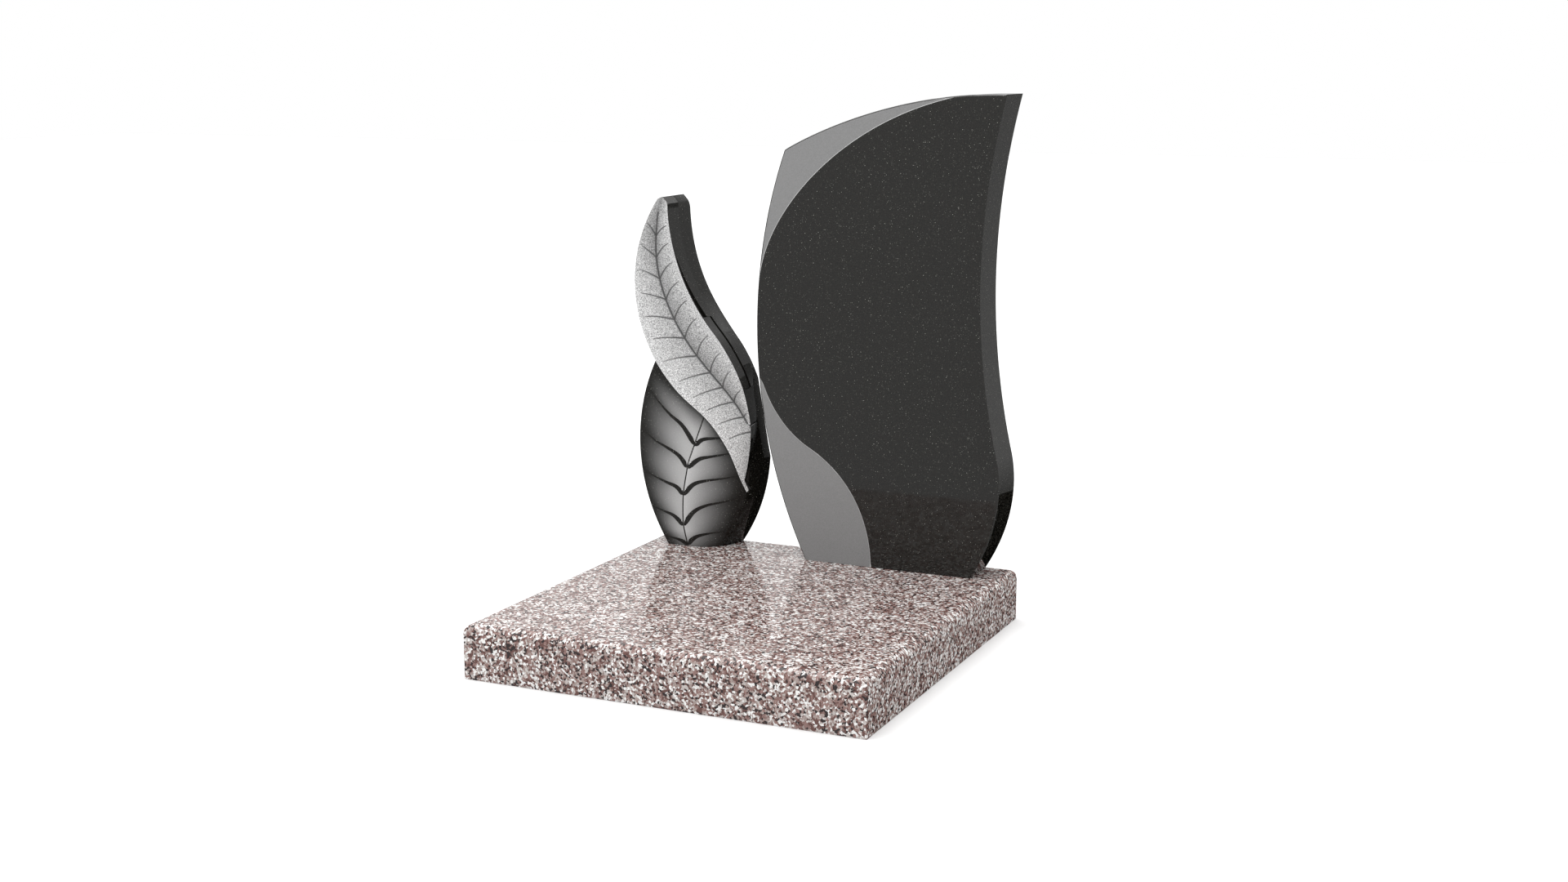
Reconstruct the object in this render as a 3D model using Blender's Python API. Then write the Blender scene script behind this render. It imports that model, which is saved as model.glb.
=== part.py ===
# Grave monument: a sail-shaped headstone and a stone carved as a bud under a leaf, on a low plinth.
# Lengths are in metres. X runs to the right, Y to the back and Z up, and the origin is on the
# ground under the middle of the plinth.

import math

import bmesh
import bpy
from mathutils import Vector
from mathutils.geometry import interpolate_bezier

# The slab that both upright stones are sawn from
SLAB_THICKNESS = 0.0745
ARRIS = 0.0015            # small chamfer along the headstone's sawn edges
REST_GAP = 0.0003         # bedding joint between an upright stone and the plinth

# The headstone
HEADSTONE_WIDTH = 0.3934
HEADSTONE_HEIGHT = 0.7127

# The leaf stone
LEAF_STONE_WIDTH = 0.2004
LEAF_STONE_HEIGHT = 0.5518
BUD_SETBACK = 0.004       # the bud's flat face lies this far behind the leaf's rim
LEAF_STEP = 0.0365        # depth of the front layer that the leaf is carved in
LAYER_LAP = 0.003         # how far the carved layers run into each other
SLAB_INSET = 0.004        # the slab behind the leaf stands back from the leaf's left rim
FOLD_DEPTH = 0.008        # the midrib lies this far below the leaf's rims
MIDRIB_DEPTH = 0.0018     # groove along the midrib, below the fold
MIDRIB_HALF_WIDTH = 0.0024
VEIN_DEPTH = 0.0014
VEIN_HALF_WIDTH = 0.0016
LEAF_BEND = 0.0315        # the leaf's foot sinks this far back over the bud's shoulder

# The plinth
PLINTH_DEPTH = 0.602
PLINTH_HEIGHT = 0.0787
PLINTH_EDGE_RADIUS = 0.0145
STONE_GAP = 0.0109        # between the widest points of the two upright stones
LEFT_MARGIN = -0.0077     # the leaf hangs a little over the plinth's left face
RIGHT_MARGIN = 0.003
BACK_MARGIN = 0.012
PLINTH_WIDTH = LEFT_MARGIN + LEAF_STONE_WIDTH + STONE_GAP + HEADSTONE_WIDTH + RIGHT_MARGIN

# Places that follow from the sizes
BACK_Y = PLINTH_DEPTH / 2 - BACK_MARGIN
FRONT_Y = BACK_Y - SLAB_THICKNESS
FOOT_Z = PLINTH_HEIGHT + REST_GAP
HEADSTONE_X = PLINTH_WIDTH / 2 - RIGHT_MARGIN - HEADSTONE_WIDTH
LEAF_STONE_X = HEADSTONE_X - STONE_GAP - LEAF_STONE_WIDTH

# Outlines as seen from the front. Each is a chain of Bezier curves: a knot, two handles, a knot
# and so on, in shares of its stone's width (rightwards) and height (upwards).
HEADSTONE_LEFT = ((0.208, 0.0), (-0.062, 0.310), (-0.044, 0.636), (0.118, 0.881))
HEADSTONE_TOP = ((0.118, 0.881), (0.143, 0.890), (0.521, 1.006), (1.0, 1.0))
HEADSTONE_RIGHT = ((1.0, 1.0), (0.899, 0.781), (0.871, 0.532), (0.984, 0.264),
                   (0.992, 0.246), (1.046, 0.136), (0.892, 0.0))

BUD_LEFT = ((0.265, 0.0), (-0.166, 0.242), (0.007, 0.527), (0.463, 0.682))
BUD_RIGHT = ((0.759, 0.0), (0.902, 0.077), (0.984, 0.162), (1.0, 0.258),
             (0.949, 0.343), (0.929, 0.401), (0.889, 0.484),
             (0.787, 0.582), (0.637, 0.637), (0.463, 0.682))
LEAF_LEFT = ((0.210, 0.994), (0.035, 0.904), (-0.146, 0.729), (0.183, 0.530),
             (0.408, 0.410), (0.542, 0.418), (0.694, 0.335),
             (0.842, 0.254), (0.807, 0.233), (0.891, 0.163))
LEAF_RIGHT = ((0.295, 0.981), (0.298, 0.899), (0.363, 0.760), (0.670, 0.630),
              (1.075, 0.464), (0.988, 0.308), (0.881, 0.199))
LEAF_TIP = (0.250, 1.0)
LEAF_STALK_END = (0.909, 0.170)
MIDRIB = ((0.250, 1.0), (0.118, 0.883), (0.151, 0.761), (0.348, 0.640),
          (0.541, 0.521), (0.791, 0.475), (0.947, 0.367))
SLAB_RIGHT = ((0.305, 0.983), (0.311, 0.686), (0.812, 0.610), (0.889, 0.484))
SLAB_FOOT = ((0.800, 0.390), (0.420, 0.400))     # hidden inside the bud

CURVE_STEPS = 16          # straight pieces that stand for one Bezier curve


def mix(a, b, share):
    return a + (b - a) * share


def smooth(share):
    share = min(max(share, 0.0), 1.0)
    return share * share * (3.0 - 2.0 * share)


def chain(knots, steps=CURVE_STEPS):
    """Points along a chain of Bezier curves."""
    points = []
    for first in range(0, len(knots) - 1, 3):
        a, b, c, d = (Vector(knot) for knot in knots[first:first + 4])
        piece = interpolate_bezier(a, b, c, d, steps + 1)
        points += [Vector(point[:2]) for point in (piece if not points else piece[1:])]
    return points


def lengths(points):
    """Distance along a path, from its first point to each of its points."""
    total = [0.0]
    for a, b in zip(points, points[1:]):
        total.append(total[-1] + (b - a).length)
    return total


def at_share(points, share):
    """The point that lies a share of the whole way along a path."""
    along = lengths(points)
    target = min(max(share, 0.0), 1.0) * along[-1]
    for i in range(1, len(points)):
        if target <= along[i]:
            step = along[i] - along[i - 1]
            return points[i - 1].lerp(points[i], (target - along[i - 1]) / step)
    return points[-1].copy()


def fit_to_box(outline, *others, width, height):
    """Stretch an outline, and what is drawn on it, so that its box is width by height."""
    low_u = min(point.x for point in outline)
    low_v = min(point.y for point in outline)
    scale_u = width / (max(point.x for point in outline) - low_u)
    scale_v = height / (max(point.y for point in outline) - low_v)
    return [[Vector(((p.x - low_u) * scale_u, (p.y - low_v) * scale_v)) for p in path]
            for path in (outline, *others)]


def shrink(outline, distance):
    """Move a closed counter-clockwise outline inwards, with mitred corners."""
    moved = []
    for i, point in enumerate(outline):
        before = (point - outline[i - 1]).normalized()
        after = (outline[(i + 1) % len(outline)] - point).normalized()
        inward = Vector((-before.y - after.y, before.x + after.x)).normalized()
        cosine = inward.dot(Vector((-before.y, before.x)))
        moved.append(point + inward * distance / max(cosine, 0.5))
    return moved


def stone_material(name, colour, roughness):
    material = bpy.data.materials.new(name)
    material.use_nodes = True
    shader = material.node_tree.nodes["Principled BSDF"]
    shader.inputs["Base Color"].default_value = (*colour, 1.0)
    shader.inputs["Roughness"].default_value = roughness
    shader.inputs["Metallic"].default_value = 0.0
    return material


def add_object(name, mesh_data, material=None):
    """Turn a finished bmesh into an object in the scene."""
    mesh = bpy.data.meshes.new(name)
    mesh_data.to_mesh(mesh)
    mesh_data.free()
    thing = bpy.data.objects.new(name, mesh)
    bpy.context.collection.objects.link(thing)
    if material:
        mesh.materials.append(material)
    return thing


def add_guide(name, mesh_data):
    """An object that only cuts or fills another one."""
    guide = add_object(name, mesh_data)
    guide.hide_render = True
    guide.display_type = 'WIRE'
    return guide


def face_outwards(solid):
    """Turn a closed mesh's faces so that they all point out of it."""
    if solid.calc_volume(signed=True) < 0.0:
        bmesh.ops.reverse_faces(solid, faces=solid.faces)


def loops_to_solid(loops):
    """Close a stack of equal loops into one solid."""
    solid = bmesh.new()
    rings = [[solid.verts.new(point) for point in loop] for loop in loops]
    for front, back in zip(rings, rings[1:]):
        for i in range(len(front)):
            j = (i + 1) % len(front)
            solid.faces.new((front[j], front[i], back[i], back[j]))
    solid.faces.new(rings[0])
    solid.faces.new(reversed(rings[-1]))
    face_outwards(solid)
    return solid


def prism(outline, x, z, front, back, arris=0.0):
    """A front-view outline sawn out of a slab, with a chamfer along both edges if asked."""
    stack = [(front, outline), (back, outline)]
    if arris:
        inner = shrink(outline, arris)
        stack = [(front, inner), (front + arris, outline), (back - arris, outline), (back, inner)]
    return loops_to_solid([[(x + p.x, y, z + p.y) for p in points] for y, points in stack])


def make_plinth(material):
    """A low square block whose four top edges are rounded, with sharp upright corners."""
    solid = bmesh.new()
    bmesh.ops.create_cube(solid, size=1.0)
    bmesh.ops.scale(solid, vec=(PLINTH_WIDTH, PLINTH_DEPTH, PLINTH_HEIGHT), verts=solid.verts)
    bmesh.ops.translate(solid, vec=(0.0, 0.0, PLINTH_HEIGHT / 2), verts=solid.verts)
    top_edges = [edge for edge in solid.edges
                 if all(vert.co.z > PLINTH_HEIGHT / 2 for vert in edge.verts)]
    bmesh.ops.bevel(solid, geom=top_edges, offset=PLINTH_EDGE_RADIUS, offset_type='OFFSET',
                    segments=8, profile=0.5, affect='EDGES')
    return add_object("plinth", solid, material)


def make_headstone(material):
    """The sail: a convex left side, a rising top and an S-shaped right side, sawn from a slab."""
    side = chain(HEADSTONE_LEFT)
    top = chain(HEADSTONE_TOP)
    right = chain(HEADSTONE_RIGHT)
    clockwise = side + top[1:] + right[1:]
    outline = fit_to_box(clockwise[::-1], width=HEADSTONE_WIDTH, height=HEADSTONE_HEIGHT)[0]
    solid = prism(outline, HEADSTONE_X, FOOT_Z, FRONT_Y, BACK_Y, ARRIS)
    return add_object("headstone", solid, material)


def leaf_stone_paths():
    """All front-view paths of the leaf stone, in metres from its box's lower left corner."""
    drawn = [chain(path) for path in (BUD_LEFT, BUD_RIGHT, LEAF_LEFT, LEAF_RIGHT, MIDRIB, SLAB_RIGHT)]
    drawn.append([Vector(LEAF_TIP), Vector(LEAF_STALK_END)])
    drawn.append([Vector(point) for point in SLAB_FOOT])
    whole = [point for path in drawn for point in path]
    fitted = fit_to_box(whole, *drawn, width=LEAF_STONE_WIDTH, height=LEAF_STONE_HEIGHT)[1:]
    names = ("bud_left", "bud_right", "leaf_left", "leaf_right", "midrib", "slab_right", "ends", "slab_foot")
    return dict(zip(names, fitted))


BUD_LEVELS = 30
BUD_COLUMNS = 14
BUD_FLAT_SHARE = 0.43     # share of the bud's width that stays flat, from its left side


def bud_front(share):
    """How far back the bud's face lies: flat at the left, then a quarter ellipse to the right."""
    depth = SLAB_THICKNESS - BUD_SETBACK
    turned = max(share - BUD_FLAT_SHARE, 0.0) / (1.0 - BUD_FLAT_SHARE)
    return BACK_Y - depth * math.sqrt(max(1.0 - turned * turned, 0.0))


def across_at(path, height):
    """Where a path that climbs crosses a height."""
    for a, b in zip(path, path[1:]):
        if a.y <= height <= b.y:
            return mix(a.x, b.x, (height - a.y) / max(b.y - a.y, 1e-9))
    return path[-1].x


def make_bud(paths):
    """The bud, closed by a flat back and a flat foot and drawn to a point behind the leaf."""
    top = min(paths["bud_left"][-1].y, paths["bud_right"][-1].y)
    shares = [0.0, BUD_FLAT_SHARE / 2]
    round_columns = BUD_COLUMNS - len(shares)
    for i in range(round_columns + 1):
        angle = math.pi / 2 * i / round_columns
        shares.append(BUD_FLAT_SHARE + (1.0 - BUD_FLAT_SHARE) * math.sin(angle))
    loops = []
    for level in range(BUD_LEVELS):
        height = top * level / BUD_LEVELS
        left = across_at(paths["bud_left"], height)
        right = across_at(paths["bud_right"], height)
        ring = [(LEAF_STONE_X + mix(left, right, s), bud_front(s), FOOT_Z + height) for s in shares]
        ring.append((LEAF_STONE_X + left, BACK_Y, FOOT_Z + height))
        loops.append(ring)
    return loops_to_solid(loops)


LEAF_COLUMNS = (0.0, None, 0.2, 0.35, 0.5, 0.65, 0.8, 0.91, 1.0)     # None: edge of the midrib
FIRST_VEIN_SHARE = 0.123  # shares of the way from the leaf's tip to its stalk
VEIN_PITCH_SHARE = 0.0657
VEINS_END_SHARE = 0.87    # no vein starts beyond this
FOLD_END_SHARE = 0.92     # where the fold has run out
VEIN_REACH_SHARE = 0.8    # share of the way to the rim at which a vein runs out
CLOSING_WIDTH = 0.018     # the leaf's right half flattens out where it gets narrower than this


def leaf_rows():
    """Shares of the leaf's length at which its mesh has a row, and how deep a vein is there."""
    half = VEIN_HALF_WIDTH / LEAF_STONE_HEIGHT
    rows = [(share * FIRST_VEIN_SHARE, 0.0) for share in (0.0, 0.28, 0.6)]
    middle = FIRST_VEIN_SHARE
    while middle < VEINS_END_SHARE:
        rows += [(middle - half, 0.0), (middle, 1.0), (middle + half, 0.0)]
        if middle + VEIN_PITCH_SHARE < VEINS_END_SHARE:
            rows.append((middle + VEIN_PITCH_SHARE / 2, 0.0))
        middle += VEIN_PITCH_SHARE
    last = rows[-1][0]
    rows += [(mix(last, 1.0, share), 0.0) for share in (0.2, 0.45, 0.65, 0.83, 1.0)]
    return rows


def leaf_front(along, across, rightwards, vein, closing):
    """Depth of the carved leaf: a fold to the midrib, grooves, and a foot that sinks back.

    Closing goes from 0 to 1 where the leaf's right half narrows to nothing.
    """
    bend = LEAF_BEND * max((along - 0.6) / 0.4, 0.0) ** 1.5
    fade = smooth(along / FIRST_VEIN_SHARE) * (1.0 - smooth((along - 0.62) / (FOLD_END_SHARE - 0.62)))
    fold = (1.0 - across) ** (2.0 if rightwards else 1.2)
    if rightwards:
        fold = mix(fold, 1.0, closing)
    depth = FRONT_Y + bend + FOLD_DEPTH * fade * fold
    if across == 0.0:
        depth += MIDRIB_DEPTH * fade * (1.0 - closing)
    return depth + VEIN_DEPTH * vein * max(1.0 - across / VEIN_REACH_SHARE, 0.0)


def leaf_back(along):
    """The leaf's layer ends half way into the stone, and deeper where it lies on the bud."""
    return mix(FRONT_Y + LEAF_STEP, BACK_Y - 2 * BUD_SETBACK, smooth((along - 0.5) / 0.2))


def leaf_grid(paths):
    """Front-view points of the leaf, row by row, from its left rim over the midrib to its right."""
    left_rim = paths["leaf_left"]
    right_rim = paths["leaf_right"]
    midrib = paths["midrib"]
    tip, stalk_end = paths["ends"]
    leaves_at = min(range(len(right_rim)), key=lambda i: (right_rim[i] - midrib[-1]).length)
    inner = midrib + right_rim[leaves_at + 1:] + [stalk_end]
    upper_rim = right_rim[:leaves_at + 1]
    midrib_share = lengths(midrib)[-1] / lengths(inner)[-1]
    grid = []
    for along, vein in leaf_rows():
        start = at_share(inner, along)
        toward_tip = (at_share(inner, along - 0.01) - at_share(inner, along + 0.01)).normalized()
        lead = 0.06 * max(1.0 - along / 0.5, 0.0) * smooth(along / 0.06)
        left_end = at_share(left_rim, along - lead)
        climb = min(along / midrib_share, 1.0)
        right_end = at_share(upper_rim, climb - 0.09 * (1.0 - (2.0 * climb - 1.0) ** 4))
        if along >= midrib_share:
            right_end = start.copy()
        closing = 1.0 - smooth((right_end - start).length / CLOSING_WIDTH)
        row = {}
        for rightwards, end, bow in ((False, left_end, 0.10), (True, right_end, 0.22)):
            span = (end - start).length
            middle = start.lerp(end, 0.5) + toward_tip * bow * span
            half = []
            for across in LEAF_COLUMNS:
                if across is None:
                    across = min(MIDRIB_HALF_WIDTH / max(span, 1e-6), 0.12)
                place = start * (1 - across) ** 2 + middle * 2 * across * (1 - across) + end * across ** 2
                half.append((place, leaf_front(along, across, rightwards, vein, closing)))
            row[rightwards] = half
        if along >= midrib_share:
            row[True] = [row[False][0]] * len(LEAF_COLUMNS)
        grid.append((along, row[False][::-1] + row[True][1:]))
    return grid


def grid_to_solid(rows):
    """Close two grids of equal size, one in front of the other, into one solid.

    Each row holds a front-view point, the depth of its front and the depth of its back.
    """
    solid = bmesh.new()
    fronts, backs = [], []
    for row in rows:
        fronts.append([solid.verts.new((LEAF_STONE_X + p.x, y, FOOT_Z + p.y)) for p, y, _ in row])
        backs.append([solid.verts.new((LEAF_STONE_X + p.x, y, FOOT_Z + p.y)) for p, _, y in row])
    columns = len(fronts[0])
    for a, b, a_back, b_back in zip(fronts, fronts[1:], backs, backs[1:]):
        for i in range(columns - 1):
            solid.faces.new((a[i], b[i], b[i + 1], a[i + 1]))
            solid.faces.new((a_back[i], a_back[i + 1], b_back[i + 1], b_back[i]))
        solid.faces.new((a[0], a_back[0], b_back[0], b[0]))
        solid.faces.new((a[-1], b[-1], b_back[-1], a_back[-1]))
    for row, row_back in ((fronts[0], backs[0]), (backs[-1], fronts[-1])):
        for i in range(columns - 1):
            solid.faces.new((row[i], row[i + 1], row_back[i + 1], row_back[i]))
    bmesh.ops.remove_doubles(solid, verts=solid.verts, dist=0.00002)
    bmesh.ops.dissolve_degenerate(solid, dist=0.00001, edges=solid.edges)
    face_outwards(solid)
    return solid


def make_leaf(paths):
    """The carved leaf as a closed layer, later joined to the bud and the slab behind it."""
    return grid_to_solid([[(place, depth, leaf_back(along)) for place, depth in row]
                          for along, row in leaf_grid(paths)])


def make_slab(paths):
    """The plain slab behind the leaf, down to where it is lost in the bud."""
    left = [point for point in paths["leaf_left"] if point.y > paths["bud_left"][-1].y * 0.8]
    outline = left[::-1] + [paths["ends"][0]] + paths["slab_right"] + paths["slab_foot"]
    outline = shrink(outline[::-1], SLAB_INSET / 2)
    front = FRONT_Y + LEAF_STEP - LAYER_LAP
    return prism(outline, LEAF_STONE_X, FOOT_Z, front, BACK_Y)


def make_pocket(paths):
    """Clears the bud's stone from in front of the leaf's fold."""
    front = FRONT_Y - FOLD_DEPTH
    return grid_to_solid([[(place, front, depth + LAYER_LAP) for place, depth in row[1:-1]]
                          for along, row in leaf_grid(paths) if 0.1 < along < FOLD_END_SHARE - 0.02])


def make_leaf_stone(material):
    """One stone: the bud, the leaf laid over it and the slab behind the leaf."""
    paths = leaf_stone_paths()
    stone = add_object("leaf_stone", make_bud(paths), material)
    steps = (("pocket", make_pocket(paths), 'DIFFERENCE'),
             ("slab", make_slab(paths), 'UNION'),
             ("leaf", make_leaf(paths), 'UNION'))
    for name, solid, operation in steps:
        boolean = stone.modifiers.new(name, 'BOOLEAN')
        boolean.object = add_guide(name, solid)
        boolean.operation = operation
        boolean.solver = 'EXACT'
    return stone


def main():
    for thing in list(bpy.data.objects):
        bpy.data.objects.remove(thing, do_unlink=True)
    pink_granite = stone_material("pink_granite", (0.42, 0.36, 0.35), 0.25)
    black_granite = stone_material("black_granite", (0.02, 0.02, 0.02), 0.12)
    make_plinth(pink_granite)
    make_headstone(black_granite)
    make_leaf_stone(black_granite)


main()
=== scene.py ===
# %% [markdown]
# This script dresses a small grave monument: a sail-shaped headstone and a stone carved as a bud
# under a long leaf, both standing on a square plinth. The solids come packed, in metres, with
# the origin on the ground under the plinth. They could be shown as they are, but their faces are
# large, so each stone gets a finer mesh of the same size that takes the solid's place.

# %% Load the solids
import math

import bmesh
import bpy
import numpy as np
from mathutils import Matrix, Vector
from mathutils.geometry import interpolate_bezier


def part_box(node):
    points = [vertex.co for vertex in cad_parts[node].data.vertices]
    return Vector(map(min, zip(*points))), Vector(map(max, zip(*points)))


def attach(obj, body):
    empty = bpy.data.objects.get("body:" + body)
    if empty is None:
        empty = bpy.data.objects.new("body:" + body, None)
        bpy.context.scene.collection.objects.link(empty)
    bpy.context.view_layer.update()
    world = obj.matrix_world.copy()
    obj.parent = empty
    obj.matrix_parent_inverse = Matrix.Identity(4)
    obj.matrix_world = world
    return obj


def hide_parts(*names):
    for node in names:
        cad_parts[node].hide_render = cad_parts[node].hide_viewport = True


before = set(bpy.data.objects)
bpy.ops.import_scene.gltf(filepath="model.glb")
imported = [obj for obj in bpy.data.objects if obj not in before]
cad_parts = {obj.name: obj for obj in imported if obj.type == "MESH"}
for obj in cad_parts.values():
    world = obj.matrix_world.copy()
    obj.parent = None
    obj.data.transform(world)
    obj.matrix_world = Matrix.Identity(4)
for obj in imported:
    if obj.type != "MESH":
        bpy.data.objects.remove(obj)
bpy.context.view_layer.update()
for name in sorted(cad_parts):
    low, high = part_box(name)
    print(name, "from", [round(x, 4) for x in low], "to", [round(x, 4) for x in high])

# %% [markdown]
# Every outline on this monument is a free curve that a mason draws once, on a template. A list
# of measured points would do, but a few Bezier handles say the same and stay smooth at any
# number of steps. Each chain holds a knot, two handles, a knot and so on, in shares of its
# stone's width and height, so it always fits the solid's box.

# %% Curves
def bezier_chain(knots, steps=96):
    """Points along a chain of Bezier curves."""
    points = []
    for first in range(0, len(knots) - 1, 3):
        a, b, c, d = (Vector(knot) for knot in knots[first:first + 4])
        piece = interpolate_bezier(a, b, c, d, steps + 1)
        points += [Vector(point[:2]) for point in (piece if not points else piece[1:])]
    return points


def path_lengths(points):
    """Distance along a path, up to each of its points."""
    total = [0.0]
    for a, b in zip(points, points[1:]):
        total.append(total[-1] + (b - a).length)
    return total


def point_at(points, share, along):
    """The point that lies a share of the whole way along a path of known lengths."""
    target = min(max(share, 0.0), 1.0) * along[-1]
    i = min(max(int(np.searchsorted(along, target)), 1), len(points) - 1)
    step = max(along[i] - along[i - 1], 1e-9)
    return points[i - 1].lerp(points[i], (target - along[i - 1]) / step)


def smooth_step(value, start=0.0, length=1.0):
    """Rise smoothly from 0 at the start to 1 after a length."""
    share = min(max((value - start) / length, 0.0), 1.0)
    return share * share * (3.0 - 2.0 * share)


def mix(a, b, share):
    return a + (b - a) * share


def place_in_box(path, low, high):
    """Turn shares of a box's width and height into metres."""
    return [Vector((mix(low.x, high.x, p.x), mix(low.z, high.z, p.y))) for p in path]


# %% [markdown]
# A material is a small network of nodes. Adding each node takes several lines that are always
# the same, so one helper makes a node, sets its values and joins it to the ones before it. A few
# kinds of node come again and again, and each of those gets a short helper of its own.

# %% Node helpers
def add_node(tree, kind, inputs=None, **settings):
    """Add a node, set its properties, and fill its inputs with values or with other sockets."""
    made = tree.nodes.new(kind)
    for name, value in settings.items():
        setattr(made, name, value)
    for name, value in (inputs or {}).items():
        if isinstance(value, bpy.types.NodeSocket):
            tree.links.new(value, made.inputs[name])
        else:
            made.inputs[name].default_value = value
    return made


def maths(tree, operation, a, b):
    """A sum, product or comparison of two values."""
    return add_node(tree, "ShaderNodeMath", {0: a, 1: b}, operation=operation).outputs[0]


def remap(tree, value, start, stop, low=0.0, high=1.0, **settings):
    """Turn the range from start to stop into the range from low to high."""
    limits = {"Value": value, "From Min": start, "From Max": stop, "To Min": low, "To Max": high}
    return add_node(tree, "ShaderNodeMapRange", limits, **settings).outputs[0]


def mix_colours(tree, share, a, b, blend='MIX'):
    return add_node(tree, "ShaderNodeMix", {"Factor": share, 6: a, 7: b},
                    data_type='RGBA', blend_type=blend).outputs[2]


def noise(tree, place, scale, detail, roughness=0.5):
    values = {"Vector": place, "Scale": scale, "Detail": detail, "Roughness": roughness}
    return add_node(tree, "ShaderNodeTexNoise", values).outputs


def cells(tree, place, scale):
    """Cells with three random values each, and the distance from the middle of each."""
    made = add_node(tree, "ShaderNodeTexVoronoi", {"Vector": place, "Scale": scale}).outputs
    return add_node(tree, "ShaderNodeSeparateColor", {"Color": made["Color"]}).outputs, made["Distance"]


def stored(tree, name):
    """A value that the mesh carries."""
    return add_node(tree, "ShaderNodeAttribute", attribute_name=name).outputs["Fac"]


def ramp(tree, factor, stops, interpolation='LINEAR'):
    """A colour ramp with grey or coloured stops."""
    made = add_node(tree, "ShaderNodeValToRGB", {"Fac": factor})
    made.color_ramp.interpolation = interpolation
    while len(made.color_ramp.elements) < len(stops):
        made.color_ramp.elements.new(0.5)
    for element, (position, colour) in zip(made.color_ramp.elements, stops):
        element.position = position
        element.color = (*colour, 1.0) if isinstance(colour, tuple) else (colour, colour, colour, 1.0)
    return made.outputs["Color"]


def new_stone(name, roughness, shine=0.5):
    """A material with its shader, and Object coordinates to hang a pattern on."""
    material = bpy.data.materials.new(name)
    material.use_nodes = True
    tree = material.node_tree
    shader = tree.nodes["Principled BSDF"]
    shader.inputs["Roughness"].default_value = roughness
    shader.inputs["Specular IOR Level"].default_value = shine
    place = tree.nodes.new("ShaderNodeTexCoord").outputs["Object"]
    return material, tree, shader, place


# %% [markdown]
# The plinth is pink-grey granite: white, pink, brown and nearly black grains, about three
# millimetres across, ground flat and polished. A noise would give clouds. Voronoi cells give
# grains, and a random value in each cell picks its colour from a ramp with hard steps. A second,
# finer set of cells breaks up the larger ones, and a slow noise leans whole patches a little
# towards the dark or the light colours.

# %% Pink granite
GRAIN_SIZE = 0.0031
FINE_GRAINS = 2.3
GRAIN_WOBBLE = 0.004
PATCH_LEAN = 0.09
GRAIN_COLOURS = ((0.0, (0.030, 0.022, 0.022)), (0.16, (0.13, 0.066, 0.058)), (0.34, (0.25, 0.155, 0.140)),
                 (0.54, (0.34, 0.275, 0.255)), (0.70, (0.50, 0.46, 0.44)), (0.84, (0.78, 0.77, 0.76)))
FINE_GREYS = ((0.0, 0.12), (0.2, 0.45), (0.5, 0.75), (0.75, 1.0))


def make_pink_granite():
    material, tree, shader, place = new_stone("pink_granite", 0.1, 0.35)
    wobble = noise(tree, place, 240.0, 2.0)["Color"]
    shift = add_node(tree, "ShaderNodeVectorMath", {0: wobble, 1: (0.5, 0.5, 0.5)},
                     operation='SUBTRACT').outputs[0]
    moved = add_node(tree, "ShaderNodeVectorMath", {0: shift, 1: (GRAIN_WOBBLE,) * 3, 2: place},
                     operation='MULTIPLY_ADD').outputs[0]
    grain, _ = cells(tree, moved, 1 / GRAIN_SIZE)
    lean = remap(tree, noise(tree, place, 55.0, 1.0)["Fac"], 0.3, 0.7, -PATCH_LEAN, PATCH_LEAN)
    colour = ramp(tree, maths(tree, 'ADD', grain["Red"], lean), GRAIN_COLOURS, 'CONSTANT')
    fine_grain, _ = cells(tree, moved, FINE_GRAINS / GRAIN_SIZE)
    fine_grey = ramp(tree, fine_grain["Green"], FINE_GREYS, 'CONSTANT')
    tree.links.new(mix_colours(tree, 0.3, colour, fine_grey, 'MULTIPLY'), shader.inputs["Base Color"])
    return material


pink_granite = make_pink_granite()
print("grains about", GRAIN_SIZE * 1000, "mm across")

# %% [markdown]
# The upright stones are black granite. Polished, it is nearly black and shows its surroundings,
# with tiny flakes that catch the light. Where the polish is ground or blasted off, the same
# stone is light grey and dull. So there is one polished material and several matt ones.

# %% Black granite, polished
FLAKE_SPACING = 0.0021
FLAKE_COLOUR = (0.42, 0.42, 0.38, 1.0)


def add_flakes(tree, place, base):
    """Tiny bright flakes, one near the middle of some cells, over a base colour."""
    pick, distance = cells(tree, place, 1 / FLAKE_SPACING)
    strength = ramp(tree, pick["Blue"], ((0.3, 0.0), (0.7, 0.08), (0.93, 0.26), (1.0, 0.8)))
    spot = remap(tree, distance, 0.14, 0.30, 1.0, 0.0)
    return mix_colours(tree, maths(tree, 'MULTIPLY', spot, strength), base, FLAKE_COLOUR)


def flaked_black(tree, place):
    """The dark base colour, a little uneven, with its flakes."""
    clouds = noise(tree, place, 420.0, 3.0)["Fac"]
    black = ramp(tree, clouds, ((0.3, (0.004, 0.004, 0.0035)), (0.7, (0.012, 0.011, 0.009))))
    return add_flakes(tree, place, black)


def make_polished_black():
    material, tree, shader, place = new_stone("polished_black", 0.05)
    tree.links.new(flaked_black(tree, place), shader.inputs["Base Color"])
    return material


polished_black = make_polished_black()

# %% [markdown]
# The honed fields on the headstone are flat grey. The leaf is frosted: its skin is pecked all
# over by a bush hammer or sand, which leaves fine dark and light dots. Both need a colour that
# varies over less than a millimetre, and the leaf needs a bump as well.

# %% Honed and frosted stone
# Dark grey of the painted shade in the leaf's carved veins
GROOVE_SHADE_GREY = (0.085, 0.085, 0.085, 1.0)


def make_honed_grey(name, level, roughness):
    material, tree, shader, place = new_stone(name, roughness, 0.25)
    speck = noise(tree, place, 900.0, 2.0)["Fac"]
    colour = ramp(tree, speck, ((0.3, level * 0.9), (0.7, level * 1.1)))
    tree.links.new(colour, shader.inputs["Base Color"])
    return material


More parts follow.
